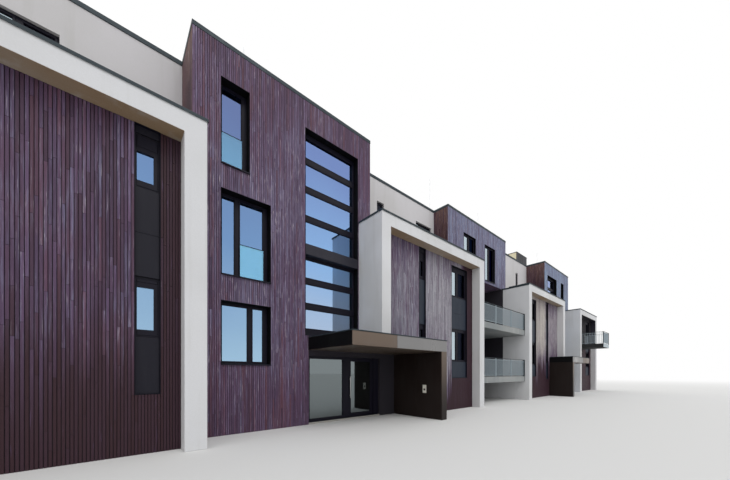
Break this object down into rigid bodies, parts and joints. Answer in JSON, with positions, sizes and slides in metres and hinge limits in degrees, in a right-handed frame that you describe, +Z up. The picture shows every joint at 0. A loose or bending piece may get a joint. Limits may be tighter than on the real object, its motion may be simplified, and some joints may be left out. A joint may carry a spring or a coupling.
{
  "type": "terraced house row, 1:2 scale model",
  "caption": "Long three-storey house row with timber-clad stair towers, white portal frames, balconies in a central recess, entrance canopies and hinged entrance doors.",
  "frame": {"origin": "centre of the footprint, at the lowest ground level", "axes": "+X to the right along the front, +Y into the building, +Z up"},
  "size_m": [20.544, 7.362, 6.475],
  "materials": {
    "timber": "dark stained vertical timber battens, weathered",
    "grey_timber": "paler, more weathered vertical timber battens",
    "white_render": "smooth white render, matt",
    "concrete": "plain concrete",
    "roof_covering": "fine grey gravel",
    "balcony_slab": "light grey painted slab edge",
    "dark_slab": "dark painted slab",
    "dark_wall": "dark painted render",
    "canopy_metal": "brown-grey coated sheet",
    "canopy_lining": "dark brown coated sheet",
    "window_frame": "anthracite powder coat",
    "panel": "dark blue-grey panel",
    "glass": "clear coated glass",
    "railing_metal": "grey coated steel",
    "coping": "anthracite sheet",
    "roof_box_cladding": "dark coated sheet",
    "steel": "brushed",
    "rod_metal": "bare drawn rod on a small foot"
  },
  "bodies": {
    "house_row": {"tower_fronts": "timber", "upper_side_walls": "timber", "end_timber_walls": "timber", "centre_block_front": "timber", "centre_block_floor": "timber", "house_timber_walls": "grey_timber", "house_portals": "white_render", "end_portals": "white_render", "upper_white_walls": "white_render", "party_walls": "white_render", "back_wall": "white_render", "ground_floor": "concrete", "first_floor": "concrete", "second_floor": "concrete", "lobby_floors": "concrete", "lobby_walls": "concrete", "roof_slab": "roof_covering", "balcony_slabs": "balcony_slab", "end_balcony": "dark_slab", "entrance_piers": "dark_wall", "entrance_lintels": "dark_wall", "recess_back_wall": "dark_wall", "canopies": "canopy_metal", "canopy_walls": "canopy_lining", "stair_frames": "window_frame", "window_frames": "window_frame", "back_window_frames": "window_frame", "entrance_screens": "window_frame", "strip_panels": "panel", "ground_glass": "glass", "first_glass": "glass", "second_glass": "glass", "tower_glass": "glass", "railings": "railing_metal", "copings": "coping", "roof_boxes": "roof_box_cladding", "door_hinges": "steel", "call_plates": "steel", "lightning_rods": "rod_metal"},
    "entrance_door_a": {"door_leaf_a": "window_frame", "door_glass_a": "glass", "door_pull_a": "steel"},
    "entrance_door_b": {"door_leaf_b": "window_frame", "door_glass_b": "glass", "door_pull_b": "steel"}
  },
  "joints": [
    {"name": "door_a_hinge", "type": "hinge", "parent": "house_row", "child": "entrance_door_a", "pos_m": [-4.253, -2.221, 0.58], "axis": [0, 0, -1], "range_deg": [0, 90]},
    {"name": "door_b_hinge", "type": "hinge", "parent": "house_row", "child": "entrance_door_b", "pos_m": [4.843, -2.221, 0.58], "axis": [0, 0, 1], "range_deg": [0, 90]}
  ]
}
